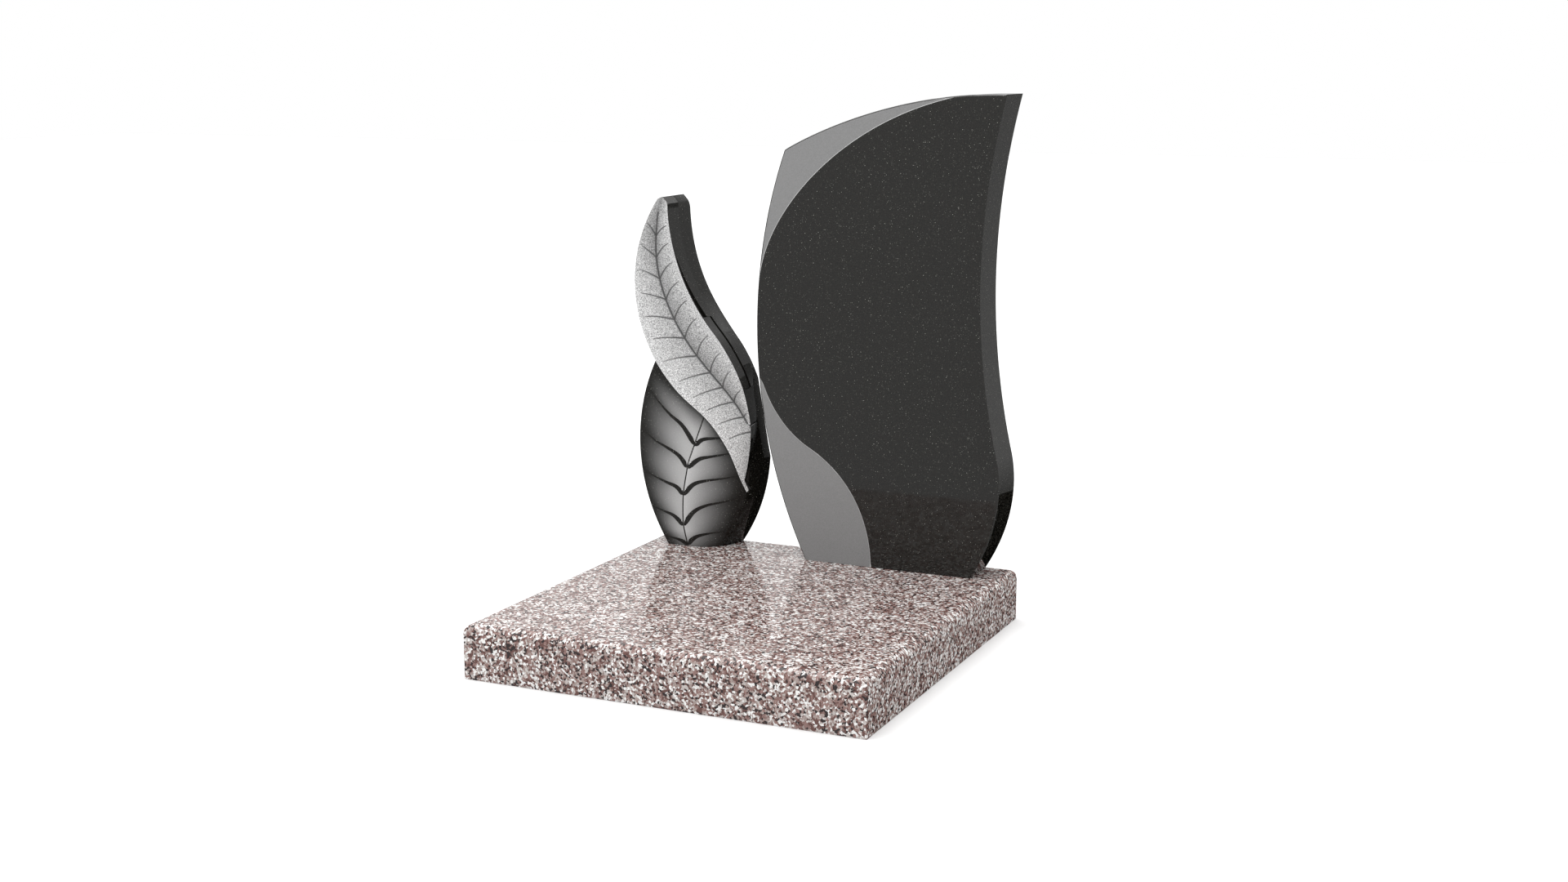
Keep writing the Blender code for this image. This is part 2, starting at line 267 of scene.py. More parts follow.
def make_frosted_leaf():
    material, tree, shader, place = new_stone("frosted_leaf", 0.75, 0.2)
    speck = noise(tree, place, 620.0, 3.0, 0.7)["Fac"]
    pecked = ramp(tree, speck, ((0.31, 0.09), (0.46, 0.35), (0.66, 0.73)))
    # The pecked colour is multiplied by painted shade of the leaf's fold, carried on the mesh: dark at the
    # midrib, light at the rims
    colour = mix_colours(tree, 1.0, pecked, stored(tree, "frost"), 'MULTIPLY')
    # Painted shade in the carved veins: dark grey in each groove, fading out just beyond its edge
    groove_shade = remap(tree, stored(tree, "line_gap"), -0.0010, 0.0008, 1.0, 0.0)
    tree.links.new(mix_colours(tree, groove_shade, colour, GROOVE_SHADE_GREY), shader.inputs["Base Color"])
    bump = add_node(tree, "ShaderNodeBump", {"Height": speck, "Strength": 0.35, "Distance": 0.0006})
    tree.links.new(bump.outputs[0], shader.inputs["Normal"])
    return material


honed_grey = make_honed_grey("honed_grey", 0.21, 0.6)
field_edge = make_honed_grey("field_edge", 0.42, 0.5)
sawn_back = make_honed_grey("sawn_back", 0.10, 0.55)
frosted_leaf = make_frosted_leaf()

# %% [markdown]
# The bud keeps its polish, and a fine spray of sand has turned its lobes grey: light beside the
# stem and fading to black at the sides, with sharp black veins between them. Two values stored
# on the mesh say where: the spray, from 0 to 1, which also carries painted shade beside the
# leaf's edge and a darkening towards the foot, and line_gap, the distance to the edge of the
# nearest vein. A distance stays sharp on a coarse mesh, where a painted mask would blur.

# %% Sprayed stone, which also carries painted shade
BARE_ROUGHNESS = 0.11
DUSTED_ROUGHNESS = 0.6
DUSTED_FROM = 0.25


def make_sprayed_and_shaded_bud():
    material, tree, shader, place = new_stone("sprayed_and_shaded_bud", BARE_ROUGHNESS, 0.25)
    off_line = remap(tree, stored(tree, "line_gap"), -0.0003, 0.0003)
    uneven = remap(tree, noise(tree, place, 700.0, 2.0)["Fac"], 0.3, 0.7, 0.93, 1.05)
    # The value on the mesh is the spray, with painted shade beside the leaf's edge already in it
    amount = maths(tree, 'MULTIPLY', stored(tree, "spray_and_shade"), off_line)
    spray_and_shade_level = maths(tree, 'MULTIPLY', amount, uneven)
    colour = mix_colours(tree, spray_and_shade_level, flaked_black(tree, place), (1.0, 1.0, 1.0, 1.0))
    tree.links.new(colour, shader.inputs["Base Color"])
    dull = remap(tree, amount, 0.0, DUSTED_FROM, BARE_ROUGHNESS, DUSTED_ROUGHNESS)
    tree.links.new(dull, shader.inputs["Roughness"])
    return material


sprayed_and_shaded_bud = make_sprayed_and_shaded_bud()
print("materials:", sorted(material.name for material in bpy.data.materials))

# %% [markdown]
# A finished mesh becomes an object at the origin that rides on the one body and takes the place
# of a solid, which is hidden. Edges sharper than an angle stay sharp, and so does everything
# around a flat front or back. Most pieces are stacks of rings of points.

# %% Finish a piece
def finish_piece(piece, node, angle):
    """Shade a piece, hang it on the body and hide the solid it stands for."""
    piece.data.shade_smooth()
    piece.data.set_sharp_from_angle(angle=math.radians(angle))
    for face in piece.data.polygons:
        if abs(face.normal.y) > 0.99999:
            face.use_smooth = False
    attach(piece, "root")
    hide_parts(node)
    piece.data.calc_loop_triangles()
    print(piece.name, len(piece.data.loop_triangles), "triangles")


def new_object(name, mesh_data, *materials):
    """Turn a bmesh into an object with its materials."""
    mesh = bpy.data.meshes.new(name)
    mesh_data.to_mesh(mesh)
    mesh_data.free()
    for material in materials:
        mesh.materials.append(material)
    thing = bpy.data.objects.new(name, mesh)
    bpy.context.scene.collection.objects.link(thing)
    return thing


def ring_cells(rings):
    """The four corners of every cell between one ring of points and the next."""
    for near, far in zip(rings, rings[1:]):
        for i in range(len(near)):
            j = (i + 1) % len(near)
            yield near[i], near[j], far[i], far[j]


def split_faces(solid):
    """Cut the faces of a closed solid into triangles that face outward."""
    solid.normal_update()
    bmesh.ops.triangulate(solid, faces=solid.faces, ngon_method='EAR_CLIP')
    bmesh.ops.recalc_face_normals(solid, faces=solid.faces)


# %% [markdown]
# The plinth is a sawn block whose four top edges are ground to a quarter round. The rounds meet
# in a mitre at each corner, because the mason grinds one side after the other, and the upright
# corners stay sharp. Bevelling only the top edges of a box gives exactly that.

# %% Plinth
PLINTH_EDGE_RADIUS = 0.0145


def make_plinth():
    low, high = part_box("plinth")
    solid = bmesh.new()
    bmesh.ops.create_cube(solid, size=1.0)
    bmesh.ops.scale(solid, vec=high - low, verts=solid.verts)
    bmesh.ops.translate(solid, vec=(low + high) / 2, verts=solid.verts)
    middle = (low.z + high.z) / 2
    top_edges = [edge for edge in solid.edges if all(vert.co.z > middle for vert in edge.verts)]
    bmesh.ops.bevel(solid, geom=top_edges, offset=PLINTH_EDGE_RADIUS, offset_type='OFFSET',
                    segments=24, profile=0.5, affect='EDGES')
    return new_object("granite_plinth", solid, pink_granite)


plinth = make_plinth()
finish_piece(plinth, "plinth", 25.0)

# %% [markdown]
# The headstone is one slab, sawn to a sail. Two curves are scribed on its face, and the stone
# beyond each is honed away by a fraction of a millimetre, with a thin light edge. The face could
# be cut with Booleans, but it is flat, so its outline is split along the curves into areas
# that share their edges, and each area gets its own material and depth.

# %% Headstone outline
HEADSTONE_LEFT = ((0.208, 0.0), (-0.062, 0.310), (-0.044, 0.636), (0.118, 0.881))
HEADSTONE_TOP = ((0.118, 0.881), (0.143, 0.890), (0.521, 1.006), (1.0, 1.0))
HEADSTONE_RIGHT = ((1.0, 1.0), (0.899, 0.781), (0.871, 0.532), (0.984, 0.264),
                   (0.992, 0.246), (1.046, 0.136), (0.892, 0.0))
UPPER_FIELD = ((0.842, 0.999), (0.348, 0.950), (0.021, 0.743), (0.010, 0.598))
LOWER_FIELD = ((0.018, 0.392), (0.079, 0.292), (0.194, 0.257), (0.232, 0.245),
               (0.426, 0.183), (0.483, 0.077), (0.484, 0.0))


def fit_outline(outline, low, high):
    """Stretch an outline of shares so that it just fills a box."""
    us = [p.x for p in outline]
    vs = [p.y for p in outline]
    return [Vector((mix(low.x, high.x, (p.x - min(us)) / (max(us) - min(us))),
                    mix(low.z, high.z, (p.y - min(vs)) / (max(vs) - min(vs))))) for p in outline]


def shrink(outline, distance):
    """Move a closed counter-clockwise outline inwards, with mitred corners."""
    moved = []
    for i, point in enumerate(outline):
        before = (point - outline[i - 1]).normalized()
        after = (outline[(i + 1) % len(outline)] - point).normalized()
        inward = Vector((-before.y - after.y, before.x + after.x)).normalized()
        cosine = inward.dot(Vector((-before.y, before.x)))
        moved.append(point + inward * distance / max(cosine, 0.5))
    return moved


def divided(outline, step):
    """The same closed outline, with no piece longer than a step."""
    points = []
    for a, b in zip(outline, outline[1:] + outline[:1]):
        count = math.ceil((b - a).length / step)
        points += [a.lerp(b, i / count) for i in range(count)]
    return points


stone_low, stone_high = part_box("headstone")
clockwise = (bezier_chain(HEADSTONE_LEFT) + bezier_chain(HEADSTONE_TOP)[1:]
             + bezier_chain(HEADSTONE_RIGHT)[1:])
sail = divided(fit_outline(clockwise[::-1], stone_low, stone_high), 0.003)
print("sail outline of", len(sail), "points")

# %% Scribe the two curves
CHAMFER = 0.0018
FIELD_DEPTH = 0.0004
FIELD_EDGE_WIDTH = 0.0009


def beside(path, distance):
    """The same path, moved to its left by a distance."""
    moved = []
    for i, point in enumerate(path):
        along = (path[min(i + 1, len(path) - 1)] - path[max(i - 1, 0)]).normalized()
        moved.append(point + Vector((-along.y, along.x)) * distance)
    return moved


def inside(outline, point):
    """Whether a point lies inside a closed outline."""
    odd = False
    for a, b in zip(outline, outline[1:] + outline[:1]):
        if (a.y > point.y) != (b.y > point.y):
            if point.x < a.x + (point.y - a.y) / (b.y - a.y) * (b.x - a.x):
                odd = not odd
    return odd


def cut_outline(outline, path):
    """Split a closed outline along a path. Returns the part with the shorter border, and the rest."""
    path = [p for p in path if inside(outline, p)]
    start, stop = (min(range(len(outline)), key=lambda i: (outline[i] - end).length)
                   for end in (path[0], path[-1]))
    seam = [outline[start]] + path[1:-1] + [outline[stop]]
    size = len(outline)
    onward = [outline[(stop + i) % size] for i in range(1, (start - stop) % size)]
    backward = [outline[(start + i) % size] for i in range(1, (stop - start) % size)]
    parts = [seam + onward, seam[::-1] + backward]
    return sorted(parts, key=lambda part: sum(path_lengths(part)[-1:]))


face_outline = shrink(sail, CHAMFER)
# The foot has no chamfer, so it stands flat on the plinth
for p in face_outline:
    if p.y < stone_low.z + 1.5 * CHAMFER:
        p.y = stone_low.z
upper_curve = place_in_box(bezier_chain(UPPER_FIELD), stone_low, stone_high)
lower_curve = place_in_box(bezier_chain(LOWER_FIELD, 24), stone_low, stone_high)
print("curves of", len(upper_curve), "and", len(lower_curve), "points")


# %% Headstone mesh
POLISHED, HONED, FIELD_EDGE, SAWN = range(4)


def make_headstone():
    """Close the slab, with its face split into two honed fields, their edges and the polish."""
    front, back = stone_low.y, stone_high.y
    solid = bmesh.new()
    stack = ((face_outline, front), (sail, front + CHAMFER), (sail, back - CHAMFER), (face_outline, back))
    rings = [[solid.verts.new((p.x, y, p.y)) for p in outline] for outline, y in stack]
    for a, b, c, d in ring_cells(rings):
        solid.faces.new((b, a, c, d))
    solid.faces.new(reversed(rings[-1])).material_index = SAWN
    corners = {}

    def area(outline, material, depth=0.0):
        """One flat part of the face, which may lie a little deeper than the rest."""
        points = []
        for p in outline:
            key = (round(p.x, 6), round(p.y, 6))
            if key not in corners:
                near = [v for v in rings[0] if (v.co.x - p.x) ** 2 + (v.co.z - p.y) ** 2 < 1e-11]
                corners[key] = near[0] if near else solid.verts.new((p.x, front, p.y))
            points.append(corners[key])
            if depth:
                corners[key].co.y = front + depth
        solid.faces.new(points).material_index = material

    field, rest = cut_outline(face_outline, upper_curve)
    strip, rest = cut_outline(rest, beside(upper_curve, FIELD_EDGE_WIDTH))
    low_field, rest = cut_outline(rest, lower_curve)
    low_strip, middle = cut_outline(rest, beside(lower_curve, FIELD_EDGE_WIDTH))
    area(middle, POLISHED)
    area(strip, FIELD_EDGE)
    area(low_strip, FIELD_EDGE)
    area(field, HONED, FIELD_DEPTH)
    area(low_field, HONED, FIELD_DEPTH)
    split_faces(solid)
    return new_object("sail_headstone", solid, polished_black, honed_grey, field_edge, sawn_back)


headstone = make_headstone()
finish_piece(headstone, "headstone", 20.0)

# %% [markdown]
# The leaf stone starts from the same curves as its solid. Its box runs from the bud's left edge
# to the leaf's foot, so the curves are stretched to it together.

# %% Leaf stone curves
BUD_LEFT = ((0.265, 0.0), (-0.166, 0.242), (0.007, 0.527), (0.463, 0.682))
BUD_RIGHT = ((0.759, 0.0), (0.902, 0.077), (0.984, 0.162), (1.0, 0.258),
             (0.953, 0.343), (0.933, 0.401), (0.893, 0.484),
             (0.787, 0.582), (0.637, 0.637), (0.463, 0.682))
LEAF_LEFT = ((0.210, 0.994), (0.035, 0.904), (-0.146, 0.729), (0.183, 0.530),
             (0.408, 0.410), (0.542, 0.418), (0.694, 0.335),
             (0.842, 0.254), (0.807, 0.233), (0.891, 0.163))
LEAF_RIGHT = ((0.295, 0.981), (0.298, 0.899), (0.363, 0.760), (0.670, 0.630),
              (1.075, 0.464), (0.988, 0.308), (0.881, 0.199))
LEAF_ENDS = ((0.250, 1.0), (0.909, 0.170))
MIDRIB = ((0.250, 1.0), (0.118, 0.883), (0.151, 0.761), (0.348, 0.640),
          (0.541, 0.521), (0.791, 0.475), (0.947, 0.367))
SLAB_RIGHT = ((0.311, 0.985), (0.319, 0.690), (0.815, 0.612), (0.893, 0.484))
SLAB_FOOT = ((0.800, 0.390), (0.420, 0.400))

leaf_low, leaf_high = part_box("leaf_stone")
left_most = min(p.x for p in bezier_chain(LEAF_LEFT))
right_most = max(p.x for p in bezier_chain(BUD_RIGHT) + bezier_chain(LEAF_RIGHT))


def on_stone(path):
    """Turn a path of shares into metres on the leaf stone's front view."""
    return [Vector((mix(leaf_low.x, leaf_high.x, (p[0] - left_most) / (right_most - left_most)),
                    mix(leaf_low.z, leaf_high.z, p[1]))) for p in path]


bud_left = on_stone(bezier_chain(BUD_LEFT))
bud_right = on_stone(bezier_chain(BUD_RIGHT))
leaf_left = on_stone(bezier_chain(LEAF_LEFT))
leaf_right = on_stone(bezier_chain(LEAF_RIGHT))
midrib = on_stone(bezier_chain(MIDRIB))
slab_right = on_stone(bezier_chain(SLAB_RIGHT))
tip, stalk_end = on_stone(LEAF_ENDS)
print("midrib", round(path_lengths(midrib)[-1], 3), "m long")

# %% [markdown]
# The leaf lies in the front half of the stone. Its face is a grid: rows that run from the left
# rim over the midrib to the right rim, bowed as the side veins are. Each half falls towards the
# midrib, so that the leaf is a shallow trough, and its foot sinks back over the bud's shoulder.

# %% Leaf surface
FRONT_Y = leaf_low.y
BACK_Y = leaf_high.y
LEAF_STEP = 0.0365
FOLD_DEPTH = 0.008
LEFT_FOLD, RIGHT_FOLD = 1.2, 2.0
TROUGH_FADE_START, TROUGH_FADE = 0.62, 0.3
LEAF_BEND = 0.0315
BEND_START = 0.6
FIRST_VEIN = 0.123
CLOSING_WIDTH = 0.018
# How far the rows' ends run ahead of the midrib or lag behind it, in shares of the rim
TIP_LEAD, LEAD_RISE, LEAD_END = 0.06, 0.12, 0.5
ROW_LAG, LAG_START, LAG_RISE, LAG_FADE_START = 0.028, 0.45, 0.2, 0.86
RIGHT_LEAD = 0.09
LEFT_BOW, RIGHT_BOW = 0.10, 0.22
NEARBY = 0.01

leaves_at = min(range(len(leaf_right)), key=lambda i: (leaf_right[i] - midrib[-1]).length)
inner_path = midrib + leaf_right[leaves_at + 1:] + [stalk_end]
upper_rim = leaf_right[:leaves_at + 1]
inner_lengths = path_lengths(inner_path)
left_lengths = path_lengths(leaf_left)
upper_lengths = path_lengths(upper_rim)
midrib_share = path_lengths(midrib)[-1] / inner_lengths[-1]


def leaf_depth(along, across, rightwards, closing):
    """How far back the leaf's face lies, before its veins are cut."""
    bend = LEAF_BEND * max((along - BEND_START) / (1.0 - BEND_START), 0.0) ** 1.5
    fade = smooth_step(along, 0.0, FIRST_VEIN) * (1.0 - smooth_step(along, TROUGH_FADE_START, TROUGH_FADE))
    fold = (1.0 - across) ** (RIGHT_FOLD if rightwards else LEFT_FOLD)
    if rightwards:
        fold = mix(fold, 1.0, closing)
    return FRONT_Y + bend + FOLD_DEPTH * fade * fold


def leaf_row(along, shares):
    """One row of the leaf's face: left half and right half, each from the midrib to the rim."""
    start = point_at(inner_path, along, inner_lengths)
    ahead = point_at(inner_path, along - NEARBY, inner_lengths)
    behind = point_at(inner_path, along + NEARBY, inner_lengths)
    toward_tip = (ahead - behind).normalized()
    lead = TIP_LEAD * max(1.0 - along / LEAD_END, 0.0) * smooth_step(along, 0.0, LEAD_RISE)
    lag = ROW_LAG * smooth_step(along, LAG_START, LAG_RISE)
    lag *= 1.0 - smooth_step(along, LAG_FADE_START, 1.0 - LAG_FADE_START)
    left_end = point_at(leaf_left, along - lead + lag, left_lengths)
    climb = min(along / midrib_share, 1.0)
    right_end = point_at(upper_rim, climb - RIGHT_LEAD * (1.0 - (2.0 * climb - 1.0) ** 4), upper_lengths)
    if along >= midrib_share:
        right_end = start.copy()
    closing = 1.0 - smooth_step((right_end - start).length, 0.0, CLOSING_WIDTH)
    halves = []
    for rightwards, end, bow in ((False, left_end, LEFT_BOW), (True, right_end, RIGHT_BOW)):
        middle = start.lerp(end, 0.5) + toward_tip * bow * (end - start).length
        half = []
        for across in shares:
            p = start * (1 - across) ** 2 + middle * 2 * across * (1 - across) + end * across ** 2
            half.append(Vector((p.x, leaf_depth(along, across, rightwards, closing), p.y)))
        halves.append(half)
    if along >= midrib_share:
        halves[1] = [halves[0][0].copy() for _ in shares]
    return halves


# %% Groove under the leaf's edge
KERF_TOP, KERF_TURN, KERF_END = 0.853, 0.665, 0.47
KERF_LIP = 0.0025
KERF_DEPTH = 0.024
KERF_WIDTH = 0.006
KERF_GROWTH = 0.65
KERF_STEEPNESS = 0.4
DEEPEST_KERF = 0.010
UNDERCUT, UNDERCUT_LIMIT = 0.2, 0.6
UNDERCUT_START, UNDERCUT_RISE = 0.62, 0.12
WALL_TURN_START, WALL_TURN = 0.5, 0.2
FOOT_GAP = 0.008


def kerf(rim):
    """Where the groove in the leaf's right wall starts and ends in depth, and how deep it is."""
    height = (rim.z - leaf_low.z) / (leaf_high.z - leaf_low.z)
    start, stop = rim.y + KERF_LIP, rim.y + KERF_DEPTH
    if KERF_TURN < height < KERF_TOP:
        stop = mix(start, stop, KERF_GROWTH * (KERF_TOP - height) / (KERF_TOP - KERF_TURN))
        return start, stop, min(KERF_STEEPNESS * (stop - start), DEEPEST_KERF)
    if KERF_END < height <= KERF_TURN:
        return stop, stop + KERF_WIDTH, KERF_WIDTH / 2
    return start, start, 0.0


def wall_points(row, along):
    """The leaf's right wall behind one row: past the groove, then leaning inwards to its back."""
    rim, inner = row[-1], row[LEAF_COLUMNS]
    start, stop, sink = kerf(rim)
    inwards = Vector((inner.x - rim.x, 0.0, inner.z - rim.z)).normalized() * sink
    back = mix(FRONT_Y + LEAF_STEP, BACK_Y - FOOT_GAP, smooth_step(along, WALL_TURN_START, WALL_TURN))
    undercut = min(UNDERCUT * (back - rim.y), UNDERCUT_LIMIT * (rim.x - row[0].x))
    undercut *= smooth_step(along, UNDERCUT_START, UNDERCUT_RISE)
    wall = [Vector((rim.x, y, rim.z)) + shift for y, shift in
            ((start, inwards * 0), (start, inwards), (stop, inwards), (stop, inwards * 0))]
    ends = ((rim.x - undercut, rim.z), (inner.x - undercut / 2, inner.z), (row[0].x, row[0].z))
    return wall, [Vector((x, back, z)) for x, z in ends]


# %% Leaf mesh before carving
LEAF_ROWS = 560
LEAF_COLUMNS = 34
COLUMN_BUNCHING = 1.15
# Painted shade of the leaf's fold: factors on the frosting's colour, from the midrib to the rim and along
# the leaf
RIGHT_FOLD_SHADE = (0.50, 1.13)
LEFT_FOLD_SHADE = (0.72, 1.26)
TIP_SHADE, FOOT_LIGHT = 0.66, 0.1
OFF_FACE_MARK = -1.0


def painted_fold_shade_at(along, across):
    """Painted shade of the leaf's fold, a factor on the frosting's colour: dark at the midrib and light at
    the rims, darker near the tip and lighter to the foot.
    """
    if across > 0.0:
        return mix(*RIGHT_FOLD_SHADE, across)
    lengthwise = mix(TIP_SHADE, 1.0, smooth_step(along, 0.1, 0.25))
    lengthwise += FOOT_LIGHT * smooth_step(along, 0.55, 0.3)
    return lengthwise * mix(*LEFT_FOLD_SHADE, -across)


def make_leaf_body():
    """Close the leaf's face with walls and a back: one ring of points for each row."""
    solid = bmesh.new()
    # Each face point carries painted shade of the fold; wall and back points carry a mark below zero
    frost = solid.verts.layers.float.new("frost")
    rings = []
    shares = [(i / LEAF_COLUMNS) ** COLUMN_BUNCHING for i in range(LEAF_COLUMNS + 1)]
    for r in range(LEAF_ROWS + 1):
        along = r / LEAF_ROWS
        left, right = leaf_row(along, shares)
        row = left[::-1] + right[1:]
        wall, back = wall_points(row, along)
        ring = [solid.verts.new(p) for p in row + wall + back]
        for i, vert in enumerate(ring):
            across = (i - LEAF_COLUMNS) / LEAF_COLUMNS
            vert[frost] = painted_fold_shade_at(along, across) if i < len(row) else OFF_FACE_MARK
        rings.append(ring)
    for a, b, c, d in ring_cells(rings):
        solid.faces.new((a, c, d, b))
    for ring in (rings[0], rings[-1]):
        solid.faces.new(ring[:LEAF_COLUMNS + 1] + ring[-2:])
        solid.faces.new(ring[LEAF_COLUMNS:-1])
    bmesh.ops.remove_doubles(solid, verts=solid.verts, dist=0.00004)
    bmesh.ops.dissolve_degenerate(solid, dist=0.00002, edges=solid.edges)
    bmesh.ops.recalc_face_normals(solid, faces=solid.faces)
    return new_object("carved_leaf", solid, frosted_leaf, polished_black)


leaf = make_leaf_body()
print("leaf face", LEAF_ROWS, "by", 2 * LEAF_COLUMNS, "cells")

# %% [markdown]
# Veins repeat along the midrib, and every one of them follows the leaf's surface. They could be
# cut one by one, but a Geometry Nodes tree cuts them all: it measures how far each point of the
# face lies from the nearest line, sinks the points close to it, and stores for the material how
# far each point lies beyond the line's edge. The lines are plain edges, made from the same rows
# as the surface.

# %% Lines to carve
def make_lines(name, paths):
    """Edges along some paths. Each path is a list of places, each with the line's half width."""
    places, edges, widths = [], [], []
    for path in paths:
        first = len(places)
        places += [p for p, _ in path]
        widths += [w for _, w in path]
        edges += [(first + i, first + i + 1) for i in range(len(path) - 1)]
    mesh = bpy.data.meshes.new(name)
    mesh.from_pydata([tuple(p) for p in places], edges, [])
    mesh.attributes.new("half_width", 'FLOAT', 'POINT').data.foreach_set("value", widths)
    thing = bpy.data.objects.new(name, mesh)
    bpy.context.scene.collection.objects.link(thing)
    return thing


MIDRIB_HALF_WIDTH = 0.0017
MIDRIB_STEPS = 400
MIDRIB_START, MIDRIB_SHORTER = 0.05, 0.054
VEIN_HALF_WIDTH = 0.0015
VEIN_STEPS = 70
VEIN_REACH = 0.8
VEIN_PITCH = 0.0657
VEIN_PAIRS = 12
LAST_VEIN_SHIFT, SHIFTED_FROM = 0.04, 7
SHORTEST_VEIN = 0.008


def leaf_lines():
    """The midrib, and then the side veins in pairs, a little closer together near the foot."""
    rib = []
    for i in range(MIDRIB_STEPS + 1):
        along = MIDRIB_START + i / MIDRIB_STEPS * (midrib_share - MIDRIB_SHORTER)
        width = MIDRIB_HALF_WIDTH * mix(0.5, 1.0, smooth_step(along, MIDRIB_START, 0.2))
        rib.append((leaf_row(along, (0.0,))[0][0], width))
    paths = [rib]
    shares = [VEIN_REACH * i / VEIN_STEPS for i in range(VEIN_STEPS + 1)]
    for vein in range(VEIN_PAIRS):
        shift = LAST_VEIN_SHIFT * max((vein - SHIFTED_FROM) / 4, 0.0) ** 1.3
        along = FIRST_VEIN + VEIN_PITCH * vein - shift
        for rightwards, half in enumerate(leaf_row(along, shares)):
            if not rightwards or (half[-1] - half[0]).length >= SHORTEST_VEIN:
                paths.append([(p, VEIN_HALF_WIDTH * mix(1.0, 0.35, share / VEIN_REACH))
                              for p, share in zip(half, shares)])
    return paths


leaf_paths = leaf_lines()
vein_lines = make_lines("leaf_veins", leaf_paths)
print("lines to carve on the leaf:", len(leaf_paths))


# %% Carving tree
def make_carving_tree():
    """Sink a groove along the lines, store the gap to it, and give face, sides and back a stone."""
    tree = bpy.data.node_groups.new("carve_along_lines", 'GeometryNodeTree')
    sockets = (("Stone", "Geometry"), ("Lines", "Object"), ("Depth", "Float"), ("Face Finish", "Material"),
               ("Side Finish", "Material"), ("Back Finish", "Material"))
    for name, kind in sockets:
        tree.interface.new_socket(name, in_out='INPUT', socket_type='NodeSocket' + kind)
    tree.interface.new_socket("Stone", in_out='OUTPUT', socket_type='NodeSocketGeometry')
    given = tree.nodes.new("NodeGroupInput").outputs

    def carried(name):
        """A value that the mesh or the lines carry."""
        return add_node(tree, "GeometryNodeInputNamedAttribute", {"Name": name},
                        data_type='FLOAT').outputs[0]

    lines = add_node(tree, "GeometryNodeObjectInfo", {"Object": given["Lines"]}).outputs["Geometry"]
    distance = add_node(tree, "GeometryNodeProximity", {0: lines},
                        target_element='EDGES').outputs["Distance"]
    nearest = add_node(tree, "GeometryNodeSampleNearest", {"Geometry": lines}, domain='POINT').outputs[0]
    half_width = add_node(tree, "GeometryNodeSampleIndex",
                          {"Geometry": lines, "Value": carried("half_width"), "Index": nearest},
                          domain='POINT').outputs[0]
    gap = maths(tree, 'SUBTRACT', distance, half_width)
    share = maths(tree, 'DIVIDE', distance, half_width)
    groove = remap(tree, share, 0.0, 1.6, 1.0, 0.0, interpolation_type='SMOOTHSTEP')
    marked = add_node(tree, "GeometryNodeStoreNamedAttribute",
                      {"Geometry": given["Stone"], "Name": "line_gap", "Value": gap},
                      data_type='FLOAT', domain='POINT').outputs[0]
    offset = add_node(tree, "ShaderNodeCombineXYZ", {"Y": maths(tree, 'MULTIPLY', groove, given["Depth"])})
    sunk = add_node(tree, "GeometryNodeSetPosition", {"Geometry": marked, "Offset": offset.outputs[0]})
    stone = add_node(tree, "GeometryNodeRealizeInstances", {0: sunk.outputs[0]}).outputs[0]
    normal = tree.nodes.new("GeometryNodeInputNormal").outputs[0]
    facing = add_node(tree, "ShaderNodeSeparateXYZ", {0: normal}).outputs["Y"]
    bare = maths(tree, 'LESS_THAN', carried("frost"), 0.0)
    is_face = maths(tree, 'SUBTRACT', maths(tree, 'LESS_THAN', facing, -0.25), bare)
    is_back = maths(tree, 'GREATER_THAN', facing, 0.99)
    for finish, where in (("Side Finish", True), ("Face Finish", is_face), ("Back Finish", is_back)):
        stone = add_node(tree, "GeometryNodeSetMaterial",
                         {"Geometry": stone, "Selection": where, "Material": given[finish]}).outputs[0]
    add_node(tree, "NodeGroupOutput", {0: stone})
    return tree


carving_tree = make_carving_tree()


def carve(piece, lines, depth, face_finish, side_finish):
    """Run the carving tree on a piece and keep the result as its mesh."""
    modifier = piece.modifiers.new("carving", 'NODES')
    modifier.node_group = carving_tree
    values = {"Lines": lines, "Depth": depth, "Face Finish": face_finish, "Side Finish": side_finish,
              "Back Finish": sawn_back}
    for item in carving_tree.interface.items_tree:
        if item.in_out == 'INPUT' and item.name in values:
            modifier[item.identifier] = values[item.name]
    graph = bpy.context.evaluated_depsgraph_get()
    graph.update()
    result = bpy.data.meshes.new_from_object(piece.evaluated_get(graph), depsgraph=graph)
    piece.modifiers.clear()
    piece.data = result
    bpy.data.objects.remove(lines)


GROOVE_DEPTH = 0.0012
carve(leaf, vein_lines, GROOVE_DEPTH, frosted_leaf, polished_black)
finish_piece(leaf, "leaf_stone", 35.0)

# %% [markdown]
# The bud is a pillow: flat at the left, then turning back to its right edge in a quarter of an
# ellipse. Where the leaf covers it, its face is pushed back into the stone, so that it doesn't
# show through the leaf's trough.

# %% Bud surface
BUD_SETBACK = 0.004
BUD_FLAT_SHARE = 0.43
BUD_LEVELS = 300
BUD_COLUMNS = 130
BUD_FLAT_COLUMNS = 50
COVER_MARGIN = 0.003
COVERED_DEPTH = 0.6


def bud_depth(share):
    turned = max(share - BUD_FLAT_SHARE, 0.0) / (1.0 - BUD_FLAT_SHARE)
    return BACK_Y - (BACK_Y - FRONT_Y - BUD_SETBACK) * math.sqrt(max(1.0 - turned * turned, 0.0))


def crossing(path, height):
    """Where a path that climbs crosses a height."""
    for a, b in zip(path, path[1:]):
        if a.y <= height <= b.y:
            return mix(a.x, b.x, (height - a.y) / max(b.y - a.y, 1e-9))
    return path[-1].x


def bud_point(x, height):
    """The place on the bud's face at a front-view point."""
    left, right = crossing(bud_left, height), crossing(bud_right, height)
    return Vector((x, bud_depth((x - left) / max(right - left, 1e-6)), height))


leaf_outline = np.array([tuple(p) for p in leaf_left + upper_rim[::-1]])


